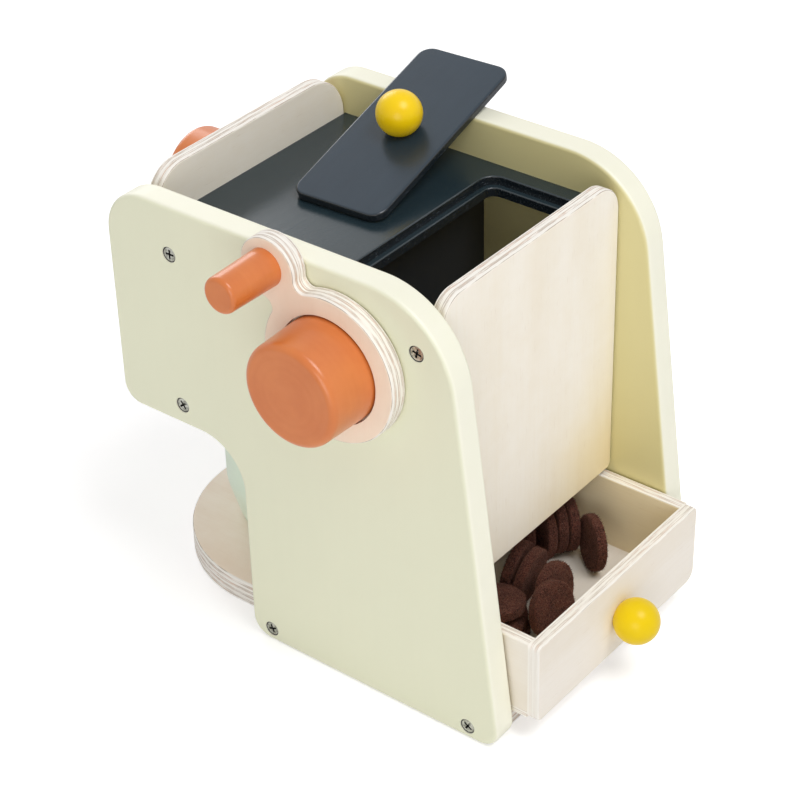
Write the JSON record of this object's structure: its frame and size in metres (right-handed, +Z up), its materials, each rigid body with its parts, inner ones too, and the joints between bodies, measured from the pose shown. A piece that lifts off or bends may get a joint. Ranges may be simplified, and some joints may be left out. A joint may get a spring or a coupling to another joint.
{
  "type": "toy coffee maker",
  "caption": "Wooden toy coffee maker with a side crank, a front dial, a lift-off hopper lid, a rear drawer of felt beans and a cup.",
  "frame": {"origin": "middle of the ground footprint, on the base board's underside, half way between the side panels", "axes": "+Z up from the ground; -Y the front, with the head and its dial; +Y the rear, where the drawer opens; +X the side with the crank"},
  "size_m": [0.1946, 0.2418, 0.2162],
  "materials": {
    "side_paint": "satin pale yellow-green paint",
    "plywood": "clear satin birch plywood",
    "drawer_wood": "clear satin light wood",
    "dark_paint": "satin dark slate paint",
    "orange_paint": "satin orange paint",
    "yellow_paint": "gloss yellow paint",
    "dowel_wood": "bare beech",
    "screw_steel": "plated steel",
    "mint_paint": "satin mint green paint",
    "felt": "dark brown pressed felt"
  },
  "bodies": {
    "housing": {"side_panel_left": "side_paint", "side_panel_right": "side_paint", "base_board": "plywood", "front_panel": "plywood", "head_floor": "plywood", "column_panel": "plywood", "deck": "dark_paint", "hopper_divider": "dark_paint", "back_panel": "plywood", "front_panel_dowels": "dowel_wood", "side_screws_left": "screw_steel", "side_screws_right": "screw_steel"},
    "crank": {"crank_plate": "plywood", "crank_hub": "orange_paint", "crank_grip": "orange_paint", "crank_grip_dowel": "dowel_wood", "crank_axle": "dowel_wood", "crank_collar": "dowel_wood"},
    "dial": {"dial_knob": "orange_paint", "dial_axle": "dowel_wood", "dial_washer": "screw_steel", "dial_screw": "screw_steel"},
    "lid": {"lid_board": "dark_paint", "lid_knob": "yellow_paint", "lid_knob_screw": "screw_steel"},
    "drawer": {"drawer_face": "drawer_wood", "drawer_back": "drawer_wood", "drawer_side_left": "drawer_wood", "drawer_side_right": "drawer_wood", "drawer_floor": "drawer_wood", "drawer_knob": "yellow_paint", "drawer_knob_screw": "screw_steel", "felt_beans": "felt"},
    "cup": {"cup": "mint_paint"}
  },
  "joints": [
    {"name": "crank_turn", "type": "hinge", "parent": "housing", "child": "crank", "pos_m": [0, 0.0305, 0.161], "axis": [1, 0, 0], "continuous": true},
    {"name": "dial_turn", "type": "hinge", "parent": "housing", "child": "dial", "pos_m": [0, -0.0797, 0.1688], "axis": [0, -1, 0], "continuous": true},
    {"name": "drawer_slide", "type": "slide", "parent": "housing", "child": "drawer", "axis": [0, 1, 0], "range_m": [-0.0447, 0.022]},
    {"name": "lid_lift", "type": "slide", "parent": "housing", "child": "lid", "axis": [0, 0, 1], "range_m": [0, 0.08]},
    {"name": "cup_out", "type": "slide", "parent": "housing", "child": "cup", "axis": [0, -1, 0], "range_m": [0, 0.1]}
  ]
}
